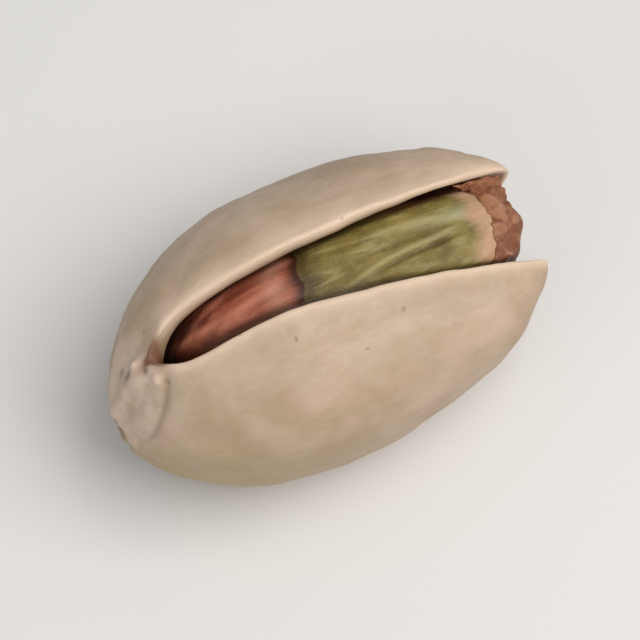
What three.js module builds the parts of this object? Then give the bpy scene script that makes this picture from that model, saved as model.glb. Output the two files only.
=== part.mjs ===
import * as THREE from 'three';

// A pistachio nut in its shell, lying on its back with the split facing up.
// Lengths are in millimetres. X runs from the stem end to the parted tips, and Z is up.
// The two valves of the shell are one piece, still joined round the stem end and along
// most of the lower seam. The kernel lies inside, and a thin red skin wraps the kernel
// except for a bare patch that shows in the split.

// Driving dimensions of the shell.
const SHELL_LENGTH = 20.6;
const SHELL_HEIGHT = 13.1;
const SHELL_THICKNESS = 11.25;
const GAPE_AT_TIPS = 4.75;
const SIDE_WALL = 0.75;
const STEM_WALL = 1.5;
const TIP_WALL = 0.8;
const FLAT_DEPTH = 0.32;

// Driving dimensions of the kernel and its skin.
const KERNEL_START = 2.9;
const KERNEL_END = 20.0;
const KERNEL_WIDTH = 8.2;
const KERNEL_HEIGHT = 10.3;
const SKIN_CLEARANCE = 0.15;
const SKIN_THICKNESS = 0.2;
const KERNEL_LIFT = 0.34;

// The split, given by the stations where its two arms begin.
const STATIONS = 48;
const ROWS = 16;
const UPPER_SPLIT_STATION = 11;
const LOWER_SPLIT_STATION = 28;
const UPPER_GAPE_CURVE = 0.61;
const LOWER_GAPE_CURVE = 0.75;
const INNER_GAPE_SHARE = 0.97;
const GAPE_SPREAD = 0.25;
const ROW_CROWDING = 0.18;

// The rims draw back from the upper seam, most of all at this share of the split's length.
const NOTCH_ANGLE = 0.12;
const NOTCH_PLACE = 0.083;

// The inside's stations are drawn towards the stem by this angle, most of all where the
// upper split begins, so that the split cuts straight down through the thick stem end.
const INNER_DRAW = 0.16;

// The middle line is lowest here, and both ends rise from it.
const BOW_LOW = 0.55;
const STEM_RISE = -0.22;
const STEM_RISE_CURVE = 3.6;
const TIP_RISE = 2.44;
const TIP_RISE_CURVE = 2.0;
const STEM_LEAN = 0.13;
const MIDDLE_LEAN = 0.48;
const TIP_LEAN = 0.42;

// The middle of the finished nut's outline, before it is moved over the origin.
const OUTLINE_MIDDLE_X = 10.18;
const OUTLINE_MIDDLE_Y = 0.515;

// Relief on the outside of the shell.
const KEEL_HEIGHT = 0.2;
const KEEL_WIDTH = 0.5;
const FURROW_DEPTH = 0.09;
const FURROW_COUNT = 11;
const FURROW_REACH = 4.2;
const SCAR_RADIUS = 1.35;
const SCAR_HEIGHT = 0.14;
const WAVE_HEIGHT = 0.05;

// The seam is not raised about this place, where the nut rests.
const REST_MIDDLE = 9.0;

// Relief on the kernel.
const WRINKLE_HEIGHT = 0.05;
const GROOVE_DEPTH = 0.16;
const GROOVE_WIDTH = 0.75;
const GROOVE_SLOPE = 0.16;

// The bare patch in the skin, as angles about its middle on a round ball.
const PATCH_MIDDLE = 2.024;
const PATCH_HALF_LENGTH = 0.621;
const PATCH_HALF_WIDTH = 1.04;
const PATCH_SQUARENESS = 4;
const PATCH_RAGGEDNESS = 0.008;
const PATCH_SLANT = 0.07;

const REST_LEVEL = FLAT_DEPTH - SHELL_HEIGHT / 2;
const UPPER_SPLIT = stationShare(UPPER_SPLIT_STATION);
const LOWER_SPLIT = stationShare(LOWER_SPLIT_STATION);

// An egg has a start and a length along X, half sizes across and up, a taper towards the
// tip (0.5 is round, 1 is a cone) and a swell towards the stem.
const OUTSIDE = {
  start: 0,
  length: SHELL_LENGTH,
  across: { half: SHELL_THICKNESS / 2, taper: 0.69, swell: 0 },
  upright: { half: SHELL_HEIGHT / 2, taper: 0.71, swell: 0.07 },
};
const INSIDE = {
  start: STEM_WALL,
  length: SHELL_LENGTH - STEM_WALL - TIP_WALL,
  across: { half: SHELL_THICKNESS / 2 - SIDE_WALL, taper: 0.69, swell: 0 },
  upright: { half: SHELL_HEIGHT / 2 - SIDE_WALL, taper: 0.71, swell: 0.07 },
};
const KERNEL = {
  start: KERNEL_START,
  length: KERNEL_END - KERNEL_START,
  across: { half: KERNEL_WIDTH / 2, taper: 0.58, swell: 0.05 },
  upright: { half: KERNEL_HEIGHT / 2, taper: 0.68, swell: 0.05 },
};

const shellMaterial = new THREE.MeshStandardMaterial({
  color: 0xcbb69a,
  roughness: 0.55,
  metalness: 0,
});
const kernelMaterial = new THREE.MeshStandardMaterial({
  color: 0x8a7c48,
  roughness: 0.6,
  metalness: 0,
});
const skinMaterial = new THREE.MeshStandardMaterial({
  color: 0xa4684f,
  roughness: 0.5,
  metalness: 0,
});

// The share of the length at a station. Stations crowd towards both ends.
function stationShare(station) {
  return (1 - Math.cos((Math.PI * station) / STATIONS)) / 2;
}

function smoothStep(low, high, value) {
  return THREE.MathUtils.smoothstep(value, low, high);
}

// How much wider than a ball's section an egg's section is, before it is scaled to size.
function fullness(share, form) {
  const left = Math.max(1 - share, 0);
  return left ** (form.taper - 0.5) * (1 + form.swell * left ** 3);
}

// The widest section of an egg, found by walking along it.
function widest(form) {
  const steps = 400;
  let most = 0;
  for (let step = 1; step < steps; step += 1) {
    const share = step / steps;
    const ball = 2 * Math.sqrt(share * (1 - share));
    most = Math.max(most, ball * fullness(share, form));
  }
  return most;
}

for (const egg of [OUTSIDE, INSIDE, KERNEL]) {
  egg.across.scale = egg.across.half / widest(egg.across);
  egg.upright.scale = egg.upright.half / widest(egg.upright);
}

// The point of an egg that a direction from the middle of a ball gives, on a straight axis.
function eggPoint(egg, direction) {
  const share = (1 + direction.x) / 2;
  return new THREE.Vector3(
    egg.start + egg.length * share,
    direction.y * egg.across.scale * fullness(share, egg.across),
    direction.z * egg.upright.scale * fullness(share, egg.upright),
  );
}

// A direction given by its angle from the stem end and its angle down from the top, on the
// side of positive or negative Y.
function ballDirection(fromStem, fromTop, side) {
  return new THREE.Vector3(
    -Math.cos(fromStem),
    side * Math.sin(fromStem) * Math.sin(fromTop),
    Math.sin(fromStem) * Math.cos(fromTop),
  );
}

// The way out of an egg at one of its points, taken from the nearest part of its axis.
function outward(egg, point) {
  const spineStart = egg.start + egg.length * 0.28;
  const spineEnd = egg.start + egg.length * 0.72;
  const spine = THREE.MathUtils.clamp(point.x, spineStart, spineEnd);
  return new THREE.Vector3(point.x - spine, point.y, point.z).normalize();
}

// How far the middle line of the nut is raised at X.
function bow(x) {
  const share = x / SHELL_LENGTH;
  if (share < BOW_LOW) {
    return STEM_RISE * (1 - share / BOW_LOW) ** STEM_RISE_CURVE;
  }
  return TIP_RISE * ((share - BOW_LOW) / (1 - BOW_LOW)) ** TIP_RISE_CURVE;
}

// How far the middle line of the nut leans to the side at X.
function sway(x) {
  const share = x / SHELL_LENGTH;
  const ends = TIP_LEAN * share ** 3 - STEM_LEAN * (1 - share) ** 2;
  return ends + MIDDLE_LEAN * Math.sin(Math.PI * share);
}

// How far a valve has moved out beside one arm of the split. It is nothing on the seam
// before the arm begins, and it spreads smoothly away from the seam.
function armGape(share, start, fromSeam, curve) {
  const along = (share - start) / (1 - start);
  return ((Math.hypot(along, fromSeam) + along) / 2) ** curve;
}

// How far a valve has moved out, at an angle from the stem end and an angle from the top.
function halfGape(fromStem, fromTop) {
  const share = (1 - Math.cos(fromStem)) / 2;
  const spread = Math.sin(fromStem) * GAPE_SPREAD;
  const upper = armGape(share, UPPER_SPLIT, fromTop * spread, UPPER_GAPE_CURVE);
  const lower = armGape(share, LOWER_SPLIT, (Math.PI - fromTop) * spread, LOWER_GAPE_CURVE);
  const height = (1 + Math.cos(fromTop)) / 2;
  return (GAPE_AT_TIPS / 2) * THREE.MathUtils.lerp(lower, upper, height);
}

// Low swells, the same for every piece of surface at the same place.
function waves(point) {
  return (
    Math.sin(0.62 * point.x + 0.9 * point.y + 0.4)
    + Math.sin(1.05 * point.x - 0.55 * point.z + 1.7)
    + Math.sin(0.8 * point.y + 0.95 * point.z + 2.6)
  );
}

// The raised seam, the furrows round the stem and the scar that the stem left.
function shellRelief(point) {
  const round = Math.atan2(point.y, point.z);
  const fromAxis = Math.hypot(point.y, point.z);
  const fromStem = Math.hypot(fromAxis, point.x);
  const resting = point.z < 0 ? 1 - smoothStep(1.6, 5.5, Math.abs(point.x - REST_MIDDLE)) : 0;
  const tipFade = 1 - smoothStep(0.86, 1, point.x / SHELL_LENGTH);
  const keel = Math.exp(-((point.y / KEEL_WIDTH) ** 2)) * (1 - resting) * tipFade;
  const nearStem = Math.exp(-((point.x / FURROW_REACH) ** 2)) * smoothStep(0.6, 2.4, fromAxis);
  const furrow = Math.cos(FURROW_COUNT * round + 0.8 * Math.sin(2 * round)) * nearStem;
  const scarEdge = Math.exp(-(((fromStem - SCAR_RADIUS) / 0.5) ** 2));
  return (
    KEEL_HEIGHT * keel
    + FURROW_DEPTH * furrow
    + SCAR_HEIGHT * scarEdge
    + WAVE_HEIGHT * waves(point) * smoothStep(0, 2, fromAxis)
  );
}

// Lengthwise wrinkles on the kernel and one slanting groove along its upper side.
function kernelRelief(point) {
  const round = Math.atan2(point.y, point.z);
  const fromAxis = Math.hypot(point.y, point.z);
  const body = smoothStep(0.5, 3, fromAxis);
  const wrinkle = Math.sin(5 * round + 0.35 * point.x) + Math.sin(3 * round - 0.5 * point.x + 1);
  const grooveLine = GROOVE_SLOPE * (point.x - 14);
  const groove = Math.exp(-(((point.y - grooveLine) / GROOVE_WIDTH) ** 2));
  const upper = smoothStep(0.5, 3, point.z);
  return body * (WRINKLE_HEIGHT * wrinkle - GROOVE_DEPTH * groove * upper);
}

// Moves a point from the straight axis onto the bowed and leaning one, with the shell's
// flat resting spot at height 0 and the middle of the nut over the origin.
function place(point) {
  return new THREE.Vector3(
    point.x - OUTLINE_MIDDLE_X,
    point.y + sway(point.x) - OUTLINE_MIDDLE_Y,
    point.z + bow(point.x) - REST_LEVEL,
  );
}

// Collects the corners and faces of one closed solid.
class Facets {
  constructor() {
    this.positions = [];
    this.index = [];
  }

  corner(point) {
    this.positions.push(point.x, point.y, point.z);
    return this.positions.length / 3 - 1;
  }

  triangle(a, b, c) {
    if (a !== b && b !== c && c !== a) {
      this.index.push(a, b, c);
    }
  }

  // Four corners in order round the face, as seen from outside the solid.
  quad(a, b, c, d, turned = false) {
    if (turned) {
      this.triangle(a, c, b);
      this.triangle(a, d, c);
    } else {
      this.triangle(a, b, c);
      this.triangle(a, c, d);
    }
  }

  mesh(name, material) {
    const geometry = new THREE.BufferGeometry();
    geometry.setAttribute('position', new THREE.Float32BufferAttribute(this.positions, 3));
    geometry.setIndex(this.index);
    geometry.computeVertexNormals();
    const mesh = new THREE.Mesh(geometry, material);
    mesh.name = name;
    return mesh;
  }
}

// A row's angle down from the upper seam. Rows crowd towards both seams, and the first one
// leaves the upper seam where the split begins.
function rowAngle(row, station) {
  const share = row / ROWS;
  const even = Math.PI * share - ROW_CROWDING * Math.sin(2 * Math.PI * share);
  const along = Math.max(stationShare(station) - UPPER_SPLIT, 0) / (1 - UPPER_SPLIT);
  const notch = NOTCH_ANGLE * (along / NOTCH_PLACE) * Math.exp(1 - along / NOTCH_PLACE);
  return notch + even * (1 - notch / Math.PI);
}

// The angle from the stem end at which the inside has a station.
function innerAngle(fromStem) {
  const steps = fromStem / ((Math.PI * UPPER_SPLIT_STATION) / STATIONS);
  return fromStem - INNER_DRAW * steps * Math.exp((1 - steps ** 2) / 2);
}

// One corner of the shell, on its outside or its inside.
function shellPoint(egg, side, station, row) {
  const fromTop = rowAngle(row, station);
  const fromStem = (Math.PI * station) / STATIONS;
  const angle = egg === OUTSIDE ? fromStem : innerAngle(fromStem);
  const straight = eggPoint(egg, ballDirection(angle, fromTop, side));
  const gape = halfGape(fromStem, fromTop);
  if (egg === OUTSIDE) {
    straight.addScaledVector(outward(egg, straight), shellRelief(straight));
  }
  const point = place(straight);
  point.y += side * gape * (egg === OUTSIDE ? 1 : INNER_GAPE_SHARE);
  point.z = Math.max(point.z, 0);
  return point;
}

// The shell: an outside and an inside skin, joined by the rims of the split.
function makeShell() {
  const facets = new Facets();
  const known = new Map();

  // Both valves share the corners on a seam where it is still closed.
  function corner(egg, side, station, row) {
    const upperJoined = row === 0 && station <= UPPER_SPLIT_STATION;
    const lowerJoined = row === ROWS && station <= LOWER_SPLIT_STATION;
    const atPole = station === 0 || station === STATIONS;
    const shared = upperJoined || lowerJoined || station === 0;
    const key = [egg === OUTSIDE, shared ? 1 : side, station, atPole ? 0 : row].join();
    if (!known.has(key)) {
      known.set(key, facets.corner(shellPoint(egg, shared ? 1 : side, station, row)));
    }
    return known.get(key);
  }

  function rim(side, row, first, turned) {
    for (let station = first; station < STATIONS; station += 1) {
      facets.quad(
        corner(OUTSIDE, side, station + 1, row),
        corner(OUTSIDE, side, station, row),
        corner(INSIDE, side, station, row),
        corner(INSIDE, side, station + 1, row),
        turned,
      );
    }
  }

  for (const side of [1, -1]) {
    for (const egg of [OUTSIDE, INSIDE]) {
      const turned = (side === 1) !== (egg === OUTSIDE);
      for (let station = 0; station < STATIONS; station += 1) {
        for (let row = 0; row < ROWS; row += 1) {
          facets.quad(
            corner(egg, side, station, row),
            corner(egg, side, station + 1, row),
            corner(egg, side, station + 1, row + 1),
            corner(egg, side, station, row + 1),
            turned,
          );
        }
      }
    }
    rim(side, 0, UPPER_SPLIT_STATION, side === -1);
    rim(side, ROWS, LOWER_SPLIT_STATION, side === 1);
  }
  return facets.mesh('shell', shellMaterial);
}

// A point of the kernel, or of a layer that lies a little way over it.
function kernelPoint(direction, over) {
  const straight = eggPoint(KERNEL, direction);
  straight.addScaledVector(outward(KERNEL, straight), kernelRelief(straight) + over);
  straight.z += KERNEL_LIFT;
  return place(straight);
}

// The kernel: rings of corners between a corner at each end.
function makeKernel() {
  const stations = 30;
  const around = 30;
  const facets = new Facets();

  function ringAt(station) {
    const fromStem = (Math.PI * station) / stations;
    if (station === 0 || station === stations) {
      const end = facets.corner(kernelPoint(ballDirection(fromStem, 0, 1), 0));
      return new Array(around).fill(end);
    }
    const ring = [];
    for (let step = 0; step < around; step += 1) {
      const direction = ballDirection(fromStem, (2 * Math.PI * step) / around, 1);
      ring.push(facets.corner(kernelPoint(direction, 0)));
    }
    return ring;
  }

  let ring = ringAt(0);
  for (let station = 1; station <= stations; station += 1) {
    const nextRing = ringAt(station);
    for (let step = 0; step < around; step += 1) {
      const next = (step + 1) % around;
      facets.quad(ring[step], nextRing[step], nextRing[next], ring[next]);
    }
    ring = nextRing;
  }
  return facets.mesh('kernel', kernelMaterial);
}

// How far the edge of the bare patch is from its middle, in the direction of an angle that
// starts towards the tip. On the stem side the edge slants a little across the kernel.
function patchEdge(angle) {
  const along = Math.abs(Math.cos(angle) / PATCH_HALF_LENGTH) ** PATCH_SQUARENESS;
  const across = Math.abs(Math.sin(angle) / PATCH_HALF_WIDTH) ** PATCH_SQUARENESS;
  const ragged = Math.sin(7 * angle) + Math.sin(11 * angle + 1);
  const slant = Math.sin(angle) * Math.max(-Math.cos(angle), 0);
  const even = (along + across) ** (-1 / PATCH_SQUARENESS);
  return even + PATCH_RAGGEDNESS * ragged - PATCH_SLANT * slant;
}

// The skin is an outer and an inner layer, joined round the edge of the bare patch. Its
// rings run from that edge to the far side of the kernel.
function makeSkin() {
  const around = 40;
  const steps = 16;
  const middle = ballDirection(PATCH_MIDDLE, 0, 1);
  const toTip = new THREE.Vector3(Math.sin(PATCH_MIDDLE), 0, Math.cos(PATCH_MIDDLE));
  const facets = new Facets();

  function layer(over) {
    const rings = [];
    for (let step = 0; step < steps; step += 1) {
      const ring = [];
      for (let spoke = 0; spoke < around; spoke += 1) {
        const angle = (2 * Math.PI * spoke) / around;
        const edge = patchEdge(angle);
        const reach = edge + ((Math.PI - edge) * step) / steps;
        const aside = toTip.clone().multiplyScalar(Math.cos(angle));
        aside.y += Math.sin(angle);
        const direction = middle.clone().multiplyScalar(Math.cos(reach));
        direction.addScaledVector(aside, Math.sin(reach));
        ring.push(facets.corner(kernelPoint(direction, over)));
      }
      rings.push(ring);
    }
    const farSide = facets.corner(kernelPoint(middle.clone().negate(), over));
    rings.push(new Array(around).fill(farSide));
    return rings;
  }

  const inner = layer(SKIN_CLEARANCE);
  const outer = layer(SKIN_CLEARANCE + SKIN_THICKNESS);
  for (let spoke = 0; spoke < around; spoke += 1) {
    const next = (spoke + 1) % around;
    for (let step = 0; step < steps; step += 1) {
      for (const [rings, turned] of [[outer, false], [inner, true]]) {
        const near = rings[step];
        const far = rings[step + 1];
        facets.quad(near[spoke], far[spoke], far[next], near[next], turned);
      }
    }
    facets.quad(inner[0][spoke], outer[0][spoke], outer[0][next], inner[0][next]);
  }
  return facets.mesh('seed_skin', skinMaterial);
}

const pistachio = new THREE.Group();
pistachio.add(makeShell(), makeKernel(), makeSkin());

export default pistachio;
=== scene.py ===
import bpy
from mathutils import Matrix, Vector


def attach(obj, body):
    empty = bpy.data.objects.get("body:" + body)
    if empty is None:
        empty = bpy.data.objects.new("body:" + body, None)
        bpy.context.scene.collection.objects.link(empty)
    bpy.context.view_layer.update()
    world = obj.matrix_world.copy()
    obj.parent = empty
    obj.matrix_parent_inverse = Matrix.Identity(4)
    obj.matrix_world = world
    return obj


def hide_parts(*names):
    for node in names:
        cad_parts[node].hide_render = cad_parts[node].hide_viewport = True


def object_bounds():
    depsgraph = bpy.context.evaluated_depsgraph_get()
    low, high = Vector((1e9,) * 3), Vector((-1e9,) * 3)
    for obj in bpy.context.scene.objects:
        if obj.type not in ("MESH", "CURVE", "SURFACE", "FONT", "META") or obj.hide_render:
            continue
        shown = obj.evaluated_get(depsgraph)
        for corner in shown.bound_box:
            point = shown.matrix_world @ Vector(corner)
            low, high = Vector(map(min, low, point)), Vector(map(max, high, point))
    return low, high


bl_info = {
    "name": "Split Pistachio",
    "version": (1, 0, 0),
    "blender": (4, 5, 0),
    "location": "3D View > Sidebar > Pistachio",
    "description": "Builds a pistachio in its split shell, with its kernel and seed skin",
    "category": "Add Mesh",
}

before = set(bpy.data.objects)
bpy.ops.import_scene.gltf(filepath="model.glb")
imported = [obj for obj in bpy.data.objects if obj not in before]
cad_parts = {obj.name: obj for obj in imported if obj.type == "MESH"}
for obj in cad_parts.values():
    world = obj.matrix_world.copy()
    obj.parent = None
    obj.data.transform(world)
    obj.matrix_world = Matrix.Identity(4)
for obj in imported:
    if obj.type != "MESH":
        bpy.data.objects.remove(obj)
CAD_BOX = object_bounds()

import math

import bpy
import numpy as np
from bpy.props import FloatProperty, FloatVectorProperty, IntProperty, PointerProperty
from mathutils import Matrix, Vector

# All shapes are worked out in millimetres, X from the stem end to the tips, and then
# moved onto the frame in metres.
MM = 0.001
BODY = "root"

# Where the two arms of the split begin, counted in coarse stations from the stem end, and
# how they widen from there.
COARSE_STATIONS = 48
UPPER_SPLIT_STATION = 11
LOWER_SPLIT_STATION = 28
UPPER_GAPE_CURVE = 0.61
LOWER_GAPE_CURVE = 0.75
INNER_GAPE_SHARE = 0.97
INNER_TIP_SHARE = 0.06
GAPE_SPREAD = 0.25

# The rims draw back from the upper seam, most of all just past the split's beginning.
NOTCH_ANGLE = 0.12
NOTCH_PLACE = 0.083
INNER_DRAW = 0.16

# The nut's middle line: lowest at one share of the length, with both ends off it.
BOW_LOW = 0.55
STEM_RISE = -0.22
STEM_RISE_CURVE = 3.6
TIP_RISE = 2.44
TIP_RISE_CURVE = 2.0
STEM_LEAN = 0.13
MIDDLE_LEAN = 0.48
TIP_LEAN = 0.42
OUTLINE_MIDDLE_X = 10.18
OUTLINE_MIDDLE_Y = 0.515
FLAT_DEPTH = 0.32
KERNEL_LIFT = 0.34

# How much an egg narrows towards the tip and swells towards the stem, across and upright.
SHELL_ACROSS = (0.69, 0.0)
SHELL_UPRIGHT = (0.71, 0.07)
KERNEL_ACROSS = (0.58, 0.05)
KERNEL_UPRIGHT = (0.68, 0.05)

# The part of an egg's axis that its outward ways start from, as shares of its length.
SPINE = (0.28, 0.72)

# Relief that the solid shell and kernel have too: the raised seam, which sinks away where
# the nut rests, the stem end's furrows and scar, low swells, wrinkles and a groove.
KEEL_HEIGHT = 0.2
KEEL_WIDTH = 0.5
KEEL_END = (0.86, 1.0)
REST_MIDDLE = 9.0
REST_REACH = (1.6, 5.5)
STEM_FURROWS = 11.0
STEM_FURROW_DEPTH = 0.09
STEM_FURROW_REACH = 4.2
SCAR_HEIGHT = 0.14
SCAR_RADIUS = 1.35
SWELL_HEIGHT = 0.05
WRINKLE_HEIGHT = 0.05
GROOVE_DEPTH = 0.16
GROOVE_WIDTH = 0.75
GROOVE_SLOPE = 0.16
GROOVE_MIDDLE = 14.0

# The fine shell's rims: how far from the split's beginning they take their full form, how
# they sharpen and thin towards the tips, and how wide their pale band is, partly the rims'
# own paler colour and partly a painted highlight, wider on the far valve. A span is two
# places along the nut.
RIM_REACH = 1.4
SHARPER_SPAN = (12.0, 16.0)
SHARPER_SHARE = 0.3
THINNED_SPAN = (12.5, 17.5)
THINNED_DEPTH = 0.12
INNER_TIP_SPAN = (11.0, 16.5)
WIDE_BAND = 0.8
WIDE_BAND_STRENGTH = 0.8
NARROW_BAND = 0.42

# The closed seam's line, a groove with painted shade in it, the painted shade at the beginning
# of the split, the stain inside one tip, partly painted shade, and the whitish skin of the stem
# end.
SEAM_SPAN = (1.7, 2.6)
SEAM_WIDTH = 0.13
SEAM_DEPTH = 0.09
THROAT_SPAN = (2.1, 2.6)
THROAT_FADE_SPAN = (2.5, 3.5)
THROAT_WIDTHS = (0.16, 0.7)
THROAT_SHADE = 0.8
STAIN_SPAN = (15.5, 18.0)
STEM_SKIN_END = 2.75
STEM_SKIN_SLANT = 2.2

# The curved furrow on one side of the stem end: its start along the nut and its pace with the
# angle round the nut, its width and depth, and the angles over which it comes and goes.
SIDE_FURROW_START = 3.35
SIDE_FURROW_PACE = 3.05
SIDE_FURROW_WIDTH = 0.17
SIDE_FURROW_DEPTH = 0.09
SIDE_FURROW_RISE = (0.12, 0.24)
SIDE_FURROW_FADE = (0.7, 0.95)

# The scar's hollow: its edge, its depth and the height of its fibres.
SCAR_EDGE = (0.8, 1.5)
SCAR_HOLLOW = 0.07
SCAR_FIBRES = 0.05

# Unevenness of the shell outside and inside and of the scrap of skin: height, wavelength,
# seed and stretch along each axis.
EVENLY = (1.0, 1.0, 1.0)
SHELL_UNEVENNESS = (
    (0.022, 3.2, 11, EVENLY),
    (0.009, 0.75, 12, (9.0, 1.0, 1.0)),
    (0.006, 0.9, 13, EVENLY),
)
INNER_STREAKS = ((0.012, 1.6, 21, (5.0, 1.0, 1.0)),)
FLAKE_CRUMPLES = ((0.1, 0.9, 51, EVENLY), (0.04, 0.35, 52, EVENLY))
UNEVENNESS_SINK = 0.05

# The kernel's raised shoulder, and how far the kernel sinks where a rim covers it.
SHOULDER_PLACE = 18.2
SHOULDER_TURN = 0.8
SHOULDER_HEIGHT = 0.3
COVERED_SINK = 0.12

# Marks of the kernel's colour: the end of the painted shade line beside the torn edge, the peach
# tip end, the rest of skin under the far rim and the cooler green spot.
SHADE_LINE_END = (12.0, 14.0)
PEACH_SPAN = (17.9, 18.8)
FAR_REST_SPAN = (13.5, 16.5)
COOL_SPOT = (17.9, 0.8)

# How far to the side light reaches in under the rims, for each unit of depth.
SHADOW_LEAN = 0.386
SHADOW_RISE = 0.38

# The width of the shadow beside the far and near rims, and how far under them it begins.
# On the near side both get less over spans along the nut: (amount, from, to).
FAR_MARGIN = 0.34
FAR_INSET = 0.15
NEAR_MARGIN = (0.44, (0.1, 8.0, 10.0), (0.18, 13.0, 16.0))
NEAR_INSET = (0.3, (0.12, 13.5, 15.5))

# The bare patch in the skin, as angles about its middle on a ball.
PATCH_MIDDLE = 2.024
PATCH_SQUARENESS = 4
PATCH_SLANT = 0.07

# The skin: millimetres for each unit of angle about the patch, its papery part towards the
# tips, and its lengthwise folds, crumples and one long ridge.
SKIN_RADIUS = 6.0
PAPERY_SPAN = (15.5, 18.0)
FOLD_HEIGHT = 0.022
CRUMPLE_HEIGHT = 0.045
SKIN_RIDGE_HEIGHT = 0.07
SKIN_RIDGE_WIDTH = 0.24
SKIN_RIDGE_SPOT = (7.0, 0.18)
SKIN_RIDGE_BEND = 0.045
SKIN_RIDGE_RISE = (3.4, 4.4)
SKIN_RIDGE_FADE = (8.4, 9.6)
TORN_THICKNESS = 0.35

# Marks painted on the skin: distance from the torn edge and width of its pale band and of its
# dark line, a painted shadow, the painted shade at the stem end, and how much more blotted the
# near side is.
TORN_BAND = (0.95, 0.42)
BRINK_BAND = (0.08, 0.28)
DEEP_SHADE_SPAN = (3.2, 5.6)
NEAR_BLOTS = 0.18

# The scrap of skin: places of its foot on the kernel and of its top under the rim, and its
# points along and up.
FLAKE_FOOT_START = 18.2
FLAKE_FOOT_LENGTH = 1.65
FLAKE_TOP_START = 18.0
FLAKE_TOP_LENGTH = 2.1
FLAKE_CLEARANCE = 0.12
FLAKE_RIM_GAP = 0.08
FLAKE_RIM_DROP = 0.4
FLAKE_RIM_WAVER = 0.15
FLAKE_HALF_THICKNESS = 0.03
FLAKE_GRID = (60, 24)

# How far the shell's second patterns are moved, so that they don't follow the first ones.
PATTERN_SHIFT = (31.0, 7.0, 12.0)

# The stage, in metres.
KEY_LIGHT_SIZE = 0.16
KEY_LIGHT_SPOT = (0.09, -0.07, 0.2)
FILL_LIGHT_SIZE = 0.14
FILL_LIGHT_SPOT = (-0.18, -0.1, 0.1)
FLOOR_HALF = 0.6
FLOOR_DROP = 0.00002
SKY_COLOUR = (0.93, 0.95, 1.0, 1.0)


def srgb(red, green, blue):
    """A colour of the eye's scale, 0 to 255, as the linear colour that shaders use."""
    def linear(value):
        share = value / 255.0
        if share <= 0.04045:
            return share / 12.92
        return ((share + 0.055) / 1.055) ** 2.4
    return (linear(red), linear(green), linear(blue))


def length_property(label, text, millimetres):
    return FloatProperty(name=label, description=text, default=millimetres * MM,
                         min=0.0, unit="LENGTH", precision=5)


def colour_property(label, text, colour):
    return FloatVectorProperty(name=label, description=text, default=srgb(*colour),
                               subtype="COLOR", size=3, min=0.0, max=1.0)


def share_property(label, text, value):
    return FloatProperty(name=label, description=text, default=value,
                         min=0.0, max=1.0, subtype="FACTOR")


def angle_property(label, text, degrees):
    return FloatProperty(name=label, description=text, default=math.radians(degrees),
                         unit="ROTATION", subtype="ANGLE")


class ShellSettings(bpy.types.PropertyGroup):
    length: length_property("Length", "Shell length from stem end to tips", 20.6)
    height: length_property("Height", "Shell height across the seams", 13.1)
    thickness: length_property("Thickness", "Thickness of the closed shell", 11.25)
    gape: length_property("Gape", "Width of the split at the tips", 4.75)
    side_wall: length_property("Side wall", "Wall thickness on the sides", 0.75)
    stem_wall: length_property("Stem wall", "Wall thickness at the stem end", 1.5)
    tip_wall: length_property("Tip wall", "Wall thickness at the tips", 0.8)
    outer_rim: length_property("Outer rim radius", "Rounding of the rim's outer edge", 0.36)
    inner_rim: length_property("Inner rim radius", "Rounding of the rim's inner edge", 0.14)
    stations: IntProperty(name="Stations", description="Rings of points along the shell",
                          default=192, min=48)
    rows: IntProperty(name="Rows", description="Points from seam to seam on one valve",
                      default=92, min=32)
    light: colour_property("Light beige", "Lighter patches of the shell", (194, 170, 146))
    dark: colour_property("Dark beige", "Darker patches of the shell", (177, 151, 124))
    pink: colour_property("Pink tint", "Faint pink patches", (202, 170, 148))
    # Khaki tints real patches and grain, and is also the painted shade towards the stem end.
    khaki: colour_property("Khaki tint", "Faint khaki patches", (168, 146, 110))
    # The rim colour is the rims' own paler tone, and also a painted highlight along them and on the
    # knuckle tops.
    rim: colour_property("Rim", "Pale rim along the split", (234, 206, 178))
    stem: colour_property("Stem end", "Whitish skin at the stem end", (202, 178, 158))
    # Dirt of the specks, dust and fine grain, and painted shade in the furrows, pits, scar, seam
    # and the split's beginning.
    dirt_and_shade: colour_property("Crevice", "Dirt in furrows and specks", (104, 78, 52))
    inside: colour_property("Inside", "Smooth inner wall", (150, 116, 84))
    # The stain colour is the real stain inside one tip, and also painted shade there and at the
    # split's beginning.
    stain: colour_property("Stain", "Red-brown stain inside the tips", (122, 78, 54))
    roughness: share_property("Roughness", "Base roughness of the shell", 0.5)


class KernelSettings(bpy.types.PropertyGroup):
    start: length_property("Start", "Distance of the kernel from the stem end", 2.9)
    end: length_property("End", "Far end of the kernel from the stem end", 20.0)
    width: length_property("Width", "Kernel width", 8.2)
    height: length_property("Height", "Kernel height", 10.3)
    stations: IntProperty(name="Stations", description="Rings of points along the kernel",
                          default=190, min=24)
    around: IntProperty(name="Around", description="Points round the kernel",
                        default=200, min=24)
    olive: colour_property("Olive", "Darker olive of the kernel", (104, 87, 40))
    green: colour_property("Green", "Fresher green of the kernel", (139, 121, 60))
    pale: colour_property("Pale", "Pale green ridges", (176, 160, 110))
    peach: colour_property("Peach", "Peach colour near the tip end", (194, 154, 120))
    cool: colour_property("Cool green", "Cooler green patch", (160, 160, 122))
    stain: colour_property("Stain", "Red-brown rest of skin under the far rim", (124, 74, 48))
    # Painted shade in the creases, beside the torn edge and under the rims, and the colour of the
    # dark spots.
    shade: colour_property("Shade", "Brown in the creases", (70, 52, 20))
    roughness: share_property("Roughness", "Base roughness of the kernel", 0.5)


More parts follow.
